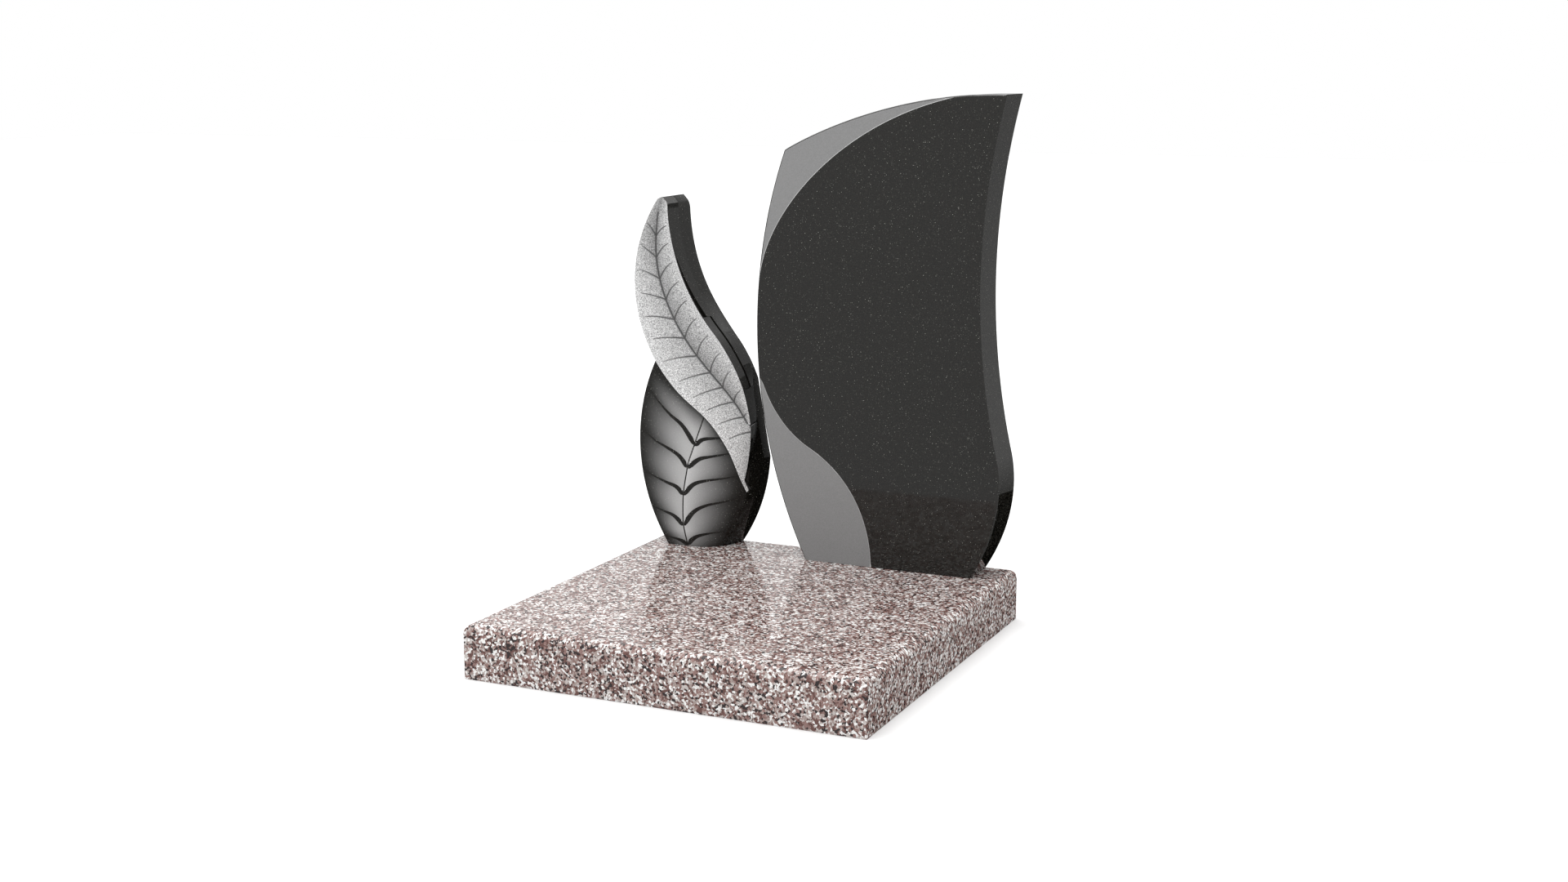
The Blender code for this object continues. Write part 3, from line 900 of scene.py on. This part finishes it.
def covered(x, z):
    """How deep inside the leaf's outline a front-view point lies, or 0 outside it."""
    a, b = leaf_outline, np.roll(leaf_outline, -1, axis=0)
    crosses = (a[:, 1] > z) != (b[:, 1] > z)
    rise = np.where(b[:, 1] == a[:, 1], 1.0, b[:, 1] - a[:, 1])
    at = a[:, 0] + (z - a[:, 1]) / rise * (b[:, 0] - a[:, 0])
    if np.count_nonzero(crosses & (x < at)) % 2 == 0:
        return 0.0
    return float(np.hypot(a[:, 0] - x, a[:, 1] - z).min())


# %% Bud mesh
def make_bud_body():
    """Rings around the bud, one for each level, closed by a flat foot and a tiny flat top."""
    solid = bmesh.new()
    top = bud_left[-1].y
    shares = [BUD_FLAT_SHARE * i / BUD_FLAT_COLUMNS for i in range(BUD_FLAT_COLUMNS)]
    turned = BUD_COLUMNS - BUD_FLAT_COLUMNS
    shares += [BUD_FLAT_SHARE + (1 - BUD_FLAT_SHARE) * math.sin(math.pi / 2 * i / turned)
               for i in range(turned + 1)]
    rings = []
    for level in range(BUD_LEVELS):
        height = mix(leaf_low.z, top, level / BUD_LEVELS)
        left, right = crossing(bud_left, height), crossing(bud_right, height)
        ring = []
        for share in shares:
            x = mix(left, right, share)
            y = bud_depth(share)
            if covered(x, height) > COVER_MARGIN:
                y = max(y, FRONT_Y + COVERED_DEPTH * LEAF_STEP)
            ring.append(solid.verts.new((x, y, height)))
        ring.append(solid.verts.new((left, BACK_Y, height)))
        rings.append(ring)
    for a, b, c, d in ring_cells(rings):
        solid.faces.new((a, b, d, c))
    solid.faces.new(rings[0])
    solid.faces.new(rings[-1])
    bmesh.ops.recalc_face_normals(solid, faces=solid.faces)
    return new_object("carved_bud", solid, sprayed_and_shaded_bud, sawn_back)


bud = make_bud_body()

# %% [markdown]
# The stem and the veins of the bud are lines of varying width: thick where a pair of veins
# leaves the stem, and thin at their ends. Each is a smooth curve through a few points, in shares
# of the stone's box as before, with its face's depth read from the bud's own surface.

# %% Bud veins
STEM = ((0.579, 0.379), (0.517, 0.315), (0.446, 0.244), (0.434, 0.223), (0.405, 0.165),
        (0.396, 0.125), (0.396, 0.073), (0.407, 0.045), (0.434, 0.006))
LEFT_VEINS = (((0.505, 0.298), (0.399, 0.351), (0.289, 0.381), (0.191, 0.415), (0.119, 0.448)),
              ((0.440, 0.230), (0.364, 0.263), (0.252, 0.285), (0.153, 0.302), (0.060, 0.328)),
              ((0.400, 0.150), (0.338, 0.171), (0.249, 0.182), (0.160, 0.194), (0.070, 0.208)),
              ((0.399, 0.060), (0.313, 0.085), (0.224, 0.096), (0.122, 0.108)),
              ((0.434, 0.006), (0.356, 0.016), (0.243, 0.023)))
RIGHT_VEINS = (((0.505, 0.298), (0.579, 0.316), (0.712, 0.321), (0.80, 0.326)),
               ((0.440, 0.230), (0.538, 0.257), (0.628, 0.266), (0.768, 0.276), (0.84, 0.283)),
               ((0.400, 0.150), (0.493, 0.183), (0.597, 0.196), (0.732, 0.204), (0.811, 0.210)),
               ((0.399, 0.060), (0.491, 0.102), (0.595, 0.123), (0.727, 0.135), (0.836, 0.145)),
               ((0.434, 0.006), (0.511, 0.029), (0.609, 0.040), (0.719, 0.045)))
STEM_HALF_WIDTH = 0.0011
THICK_HALF_WIDTH, THIN_HALF_WIDTH = 0.0042, 0.0005
VEIN_TAPER = 1.3
CURVE_STEPS = 14


def smooth_path(knots):
    """A Catmull-Rom curve through some points."""
    points = [Vector(k) for k in knots]
    points = [points[0] * 2 - points[1]] + points + [points[-1] * 2 - points[-2]]
    path = []
    for i in range(1, len(points) - 2):
        a, b, c, d = points[i - 1:i + 3]
        for step in range(CURVE_STEPS):
            t = step / CURVE_STEPS
            path.append(0.5 * (b * 2 + (c - a) * t + (a * 2 - b * 5 + c * 4 - d) * t * t
                               + (b * 3 - a - c * 3 + d) * t ** 3))
    return path + [points[-2]]


def bud_lines():
    """The stem, and then the veins to its left and right."""
    paths = [[(bud_point(p.x, p.y), STEM_HALF_WIDTH) for p in on_stone(smooth_path(STEM))]]
    for knots in LEFT_VEINS + RIGHT_VEINS:
        path = on_stone(smooth_path(knots))
        line = []
        for i, p in enumerate(path):
            share = i / (len(path) - 1)
            width = THICK_HALF_WIDTH * (1.0 - share) ** VEIN_TAPER * smooth_step(0.5 + share * 5.0)
            line.append((bud_point(p.x, p.y), width + THIN_HALF_WIDTH))
        paths.append(line)
    return paths


bud_paths = bud_lines()
bud_vein_lines = make_lines("bud_veins", bud_paths)
print("lines on the bud:", len(bud_paths))

# %% Spray on the bud's lobes, with painted shade beside the leaf
LEFT_SPRAY, LEFT_FALL = 0.40, 1.49
RIGHT_SPRAY, RIGHT_FALL = 0.49, 1.4
RIGHT_SPRAY_REACH = 0.80
LEAF_SHADE_WIDTH, LEAF_SHADE_FALL = 0.032, 1.3
FOOT_SHADE_HEIGHT, FOOT_SHADE = 0.024, 0.3
BELOW_VEINS, ABOVE_VEINS = 0.03, 0.045
BARE_BACK = 0.004


def heights_of(vein, xs):
    """Height of a vein over some places, level beyond its ends."""
    path = sorted(on_stone(smooth_path(vein)), key=lambda p: p.x)
    return np.interp(xs, [p.x for p in path], [p.y for p in path])


def share_between(veins, x, z):
    """Where each point lies between the veins below and above it, from -1 to 1."""
    levels = np.array([heights_of(vein, x) for vein in veins][::-1])
    levels = np.vstack([levels[:1] - BELOW_VEINS, levels, levels[-1:] + ABOVE_VEINS])
    lobe = np.clip((levels < z).sum(axis=0), 1, len(levels) - 1)
    low = np.take_along_axis(levels, lobe[None] - 1, 0)[0]
    high = np.take_along_axis(levels, lobe[None], 0)[0]
    return np.clip((z - low) / (high - low), 0.0, 1.0) * 2.0 - 1.0


def set_spray_and_shade():
    """How grey each point of the bud is: most beside the stem, less towards the sides and veins, with
    painted shade beside the leaf's edge and darker towards the foot.
    """
    co = np.zeros(len(bud.data.vertices) * 3)
    bud.data.vertices.foreach_get("co", co)
    x, y, z = co.reshape(-1, 3).T
    stem = sorted(on_stone(smooth_path(STEM)), key=lambda p: p.y)
    middle, left, right = (np.interp(z, [p.y for p in path], [p.x for p in path])
                           for path in (stem, bud_left, bud_right))
    is_left = x < middle
    away = np.abs(x - middle) / np.maximum(np.abs(np.where(is_left, left, right) - middle), 1e-6)
    away = np.clip(away, 0.0, 1.0)
    between = np.where(is_left, share_between(LEFT_VEINS, x, z), share_between(RIGHT_VEINS, x, z))
    grey = np.where(is_left, LEFT_SPRAY * np.cos(away * LEFT_FALL) ** 2,
                    RIGHT_SPRAY * np.clip(1.0 - away / RIGHT_SPRAY_REACH, 0.0, 1.0) ** RIGHT_FALL)
    grey *= 1.0 - away * between ** 2
    rim = np.array([tuple(p) for p in leaf_left[::4]])
    near_leaf = np.array([np.hypot(rim[:, 0] - px, rim[:, 1] - pz).min() for px, pz in zip(x, z)])
    shade = np.clip(1.0 - near_leaf / LEAF_SHADE_WIDTH, 0.0, 1.0) ** LEAF_SHADE_FALL
    grey *= 1.0 - shade * np.clip((z - stem[0].y) / (stem[-1].y - stem[0].y), 0.0, 1.0)
    grey *= FOOT_SHADE + (1.0 - FOOT_SHADE) * np.clip((z - leaf_low.z) / FOOT_SHADE_HEIGHT, 0.0, 1.0)
    grey[y > BACK_Y - BARE_BACK] = 0.0
    # The stored value is the spray with painted shade beside the leaf's edge and the darkening towards the
    # foot
    bud.data.attributes.new("spray_and_shade", 'FLOAT', 'POINT').data.foreach_set("value", grey.astype(np.float32))
    print("spray up to", round(float(grey.max()), 2))


set_spray_and_shade()
carve(bud, bud_vein_lines, 0.0, sprayed_and_shaded_bud, sprayed_and_shaded_bud)
finish_piece(bud, "leaf_stone", 35.0)

# %% [markdown]
# Behind the leaf stands the rest of the slab that it was carved from, polished on its sides. Its
# outline lies a little inside the leaf's own. Low on the stone a groove separates it from the
# leaf, and towards the tip its right side widens backwards without a step.

# %% Slab behind the leaf
SLAB_INSET = 0.0008
SLAB_TOP_LEFT = 0.8
CORNER_SHARES = (0.45, 0.6, 0.75, 0.9)
LAYER_LAP = 0.003
GROOVE_INSET = 0.003
GROOVE_START, GROOVE_FADE = 0.70, 0.063
GROOVE_FLOOR, GROOVE_END = 0.0030, 0.0045
# The right side widens backwards over nearly the whole depth, from this share of the inset
FLARE, FLARE_END = 0.85, 0.012
# The slab's back lies this far inside the bud's
BACK_STEP = 0.0003


def slab_outline():
    """The slab seen from the front, and how many of its points are on the right side."""
    left = [p for p in leaf_left if p.y > mix(leaf_low.z, bud_left[-1].y, SLAB_TOP_LEFT)]
    right = beside(slab_right, -SLAB_INSET)
    corner = [mix(mix(tip, right[0], share), mix(right[0], right[3], share), share)
              for share in CORNER_SHARES]
    outline = (left[::-1] + [tip] + corner + right[3:] + on_stone(SLAB_FOOT))[::-1]
    return outline, len(outline) - len(left) - 1


def make_back_slab():
    outline, right_count = slab_outline()
    size = len(outline)
    groove_start = mix(leaf_low.z, leaf_high.z, GROOVE_START)
    front = FRONT_Y + LEAF_STEP
    core, full_at = [], []
    for i, (p, q) in enumerate(zip(outline, shrink(outline, GROOVE_INSET))):
        grooved = smooth_step((groove_start - p.y) / GROOVE_FADE)
        on_right = i < right_count
        core.append(mix(p, q, mix(FLARE, 1.0, grooved) if on_right else grooved))
        groove_end = front + GROOVE_END
        full_at.append(mix(BACK_Y - FLARE_END, groove_end, grooved) if on_right else groove_end)
    stack = ((core, [front - LAYER_LAP] * size), (core, [front + GROOVE_FLOOR] * size),
             (outline, full_at), (outline, [BACK_Y - CHAMFER] * size),
             (shrink(outline, CHAMFER), [BACK_Y - BACK_STEP] * size))
    solid = bmesh.new()
    rings = [[solid.verts.new((p.x, y, p.y)) for p, y in zip(path, ys)] for path, ys in stack]
    for a, b, c, d in ring_cells(rings):
        solid.faces.new((b, a, c, d))
    solid.faces.new(rings[0])
    solid.faces.new(reversed(rings[-1])).material_index = 1
    split_faces(solid)
    return new_object("leaf_back_slab", solid, polished_black, sawn_back)


back_slab = make_back_slab()
finish_piece(back_slab, "leaf_stone", 25.0)

# %% [markdown]
# The photograph is a product picture: white all round, with soft daylight and only a pale shadow
# on the floor. The camera sees a white sky. The stones see one that is brightest overhead, bright
# in front and dim behind, because polish needs something to reflect. Two dark cards behind the
# stones are seen by polished faces alone, and give them the dark reflections they have there.

# %% Floor and cards
FLOOR_SIZE = 14.0
FLOOR_DROP = 0.0004


def matt_grey(name, grey):
    material, tree, shader, place = new_stone(name, 0.9, 0.0)
    shader.inputs["Base Color"].default_value = (grey, grey, grey, 1.0)
    return material


def make_floor():
    sheet = bmesh.new()
    bmesh.ops.create_grid(sheet, x_segments=1, y_segments=1, size=FLOOR_SIZE)
    bmesh.ops.translate(sheet, vec=(0.0, 0.0, -FLOOR_DROP), verts=sheet.verts)
    floor = new_object("floor", sheet, matt_grey("white_floor", 0.72))
    floor.visible_glossy = False


def make_card(name, corners, grey):
    """A dark card behind the stones, which only polished faces see."""
    sheet = bmesh.new()
    sheet.faces.new([sheet.verts.new(corner) for corner in corners])
    card = new_object(name, sheet, matt_grey(name, grey))
    card.visible_camera = False
    card.visible_diffuse = False
    card.visible_shadow = False


make_floor()
make_card("lying_card", ((-0.5, 0.32, 0.0), (2.2, 0.32, 0.0), (2.2, 1.05, 0.0), (0.48, 1.05, 0.0),
                         (0.48, 1.25, 0.0), (-0.5, 1.25, 0.0)), 0.0)
make_card("upright_card", ((-0.3, 1.25, 0.0), (0.48, 1.25, 0.0), (0.48, 1.25, 0.57), (-0.3, 1.25, 0.57)),
          0.10)
print("one floor and two cards")

# %% Light
FRONT_SKY, FRONT_FADE = 0.70, (0.3, -0.3)
LOW_BACK_SKY, BACK_SKY, BACK_FADE = 0.03, 0.36, (-0.32, -0.05)
LEFT_SKY, LEFT_FADE, HORIZON_FADE = 0.5, (0.2, -0.1), (-0.04, 0.06)
TOP_SKY, TOP_FADE = 1.6, (0.35, 0.8)
LAMP_PLACE = (-0.9, -1.5, 7.0)
LAMP_SIZE = 4.5
LAMP_POWER = 150.0
LIT_PLACE = Vector((0.0, 0.0, 0.3))


def make_sky():
    """A sky by direction: front, dim back with a brighter left part, and the bright top."""
    world = bpy.data.worlds.new("white_sky")
    bpy.context.scene.world = world
    world.use_nodes = True
    tree = world.node_tree
    way = tree.nodes.new("ShaderNodeTexCoord").outputs["Generated"]
    x, y, z = add_node(tree, "ShaderNodeSeparateXYZ", {0: way}).outputs
    behind = remap(tree, z, *BACK_FADE, LOW_BACK_SKY, BACK_SKY)
    leftwards = remap(tree, x, *LEFT_FADE, 0.0, LEFT_SKY)
    left = maths(tree, 'MULTIPLY', leftwards, remap(tree, z, *HORIZON_FADE))
    backdrop = maths(tree, 'ADD', behind, left)
    front = remap(tree, y, *FRONT_FADE)
    level = add_node(tree, "ShaderNodeMix", {0: front, 2: backdrop, 3: FRONT_SKY}).outputs[0]
    whole = maths(tree, 'ADD', level, remap(tree, z, *TOP_FADE, 0.0, TOP_SKY))
    seen = tree.nodes.new("ShaderNodeLightPath").outputs["Is Camera Ray"]
    shown = maths(tree, 'MAXIMUM', whole, seen)
    tree.links.new(shown, tree.nodes["Background"].inputs["Color"])


def make_lamp():
    lamp = bpy.data.lights.new("soft_lamp", 'AREA')
    lamp.shape = 'DISK'
    lamp.size = LAMP_SIZE
    lamp.energy = LAMP_POWER
    holder = bpy.data.objects.new("soft_lamp", lamp)
    bpy.context.scene.collection.objects.link(holder)
    holder.location = LAMP_PLACE
    holder.rotation_euler = (LIT_PLACE - holder.location).to_track_quat('-Z', 'Y').to_euler()
    print("lamp of", LAMP_POWER, "W,", LAMP_SIZE, "m across")


make_sky()
make_lamp()

# %% [markdown]
# The camera stands where the photographer stood. Its place was found from the plinth's corners,
# which are known to be square, and its angle of view follows from them as well.

# %% Camera
CAMERA_PLACE = (1.1978, -2.5159, 0.8500)
CAMERA_YAW = 24.566
CAMERA_PITCH = 11.055
ANGLE_OF_VIEW = 25.0


def make_camera():
    camera = bpy.data.cameras.new("camera")
    camera.sensor_width = 36.0
    camera.sensor_fit = 'HORIZONTAL'
    camera.lens = camera.sensor_width * 9 / 16 / 2 / math.tan(math.radians(ANGLE_OF_VIEW) / 2)
    camera.clip_end = 60.0
    holder = bpy.data.objects.new("camera", camera)
    bpy.context.scene.collection.objects.link(holder)
    holder.location = CAMERA_PLACE
    holder.rotation_euler = (math.radians(90.0 - CAMERA_PITCH), 0.0, math.radians(CAMERA_YAW))
    bpy.context.scene.camera = holder
    bpy.context.scene.view_settings.view_transform = 'Standard'
    print("lens", round(camera.lens, 2), "mm")


make_camera()
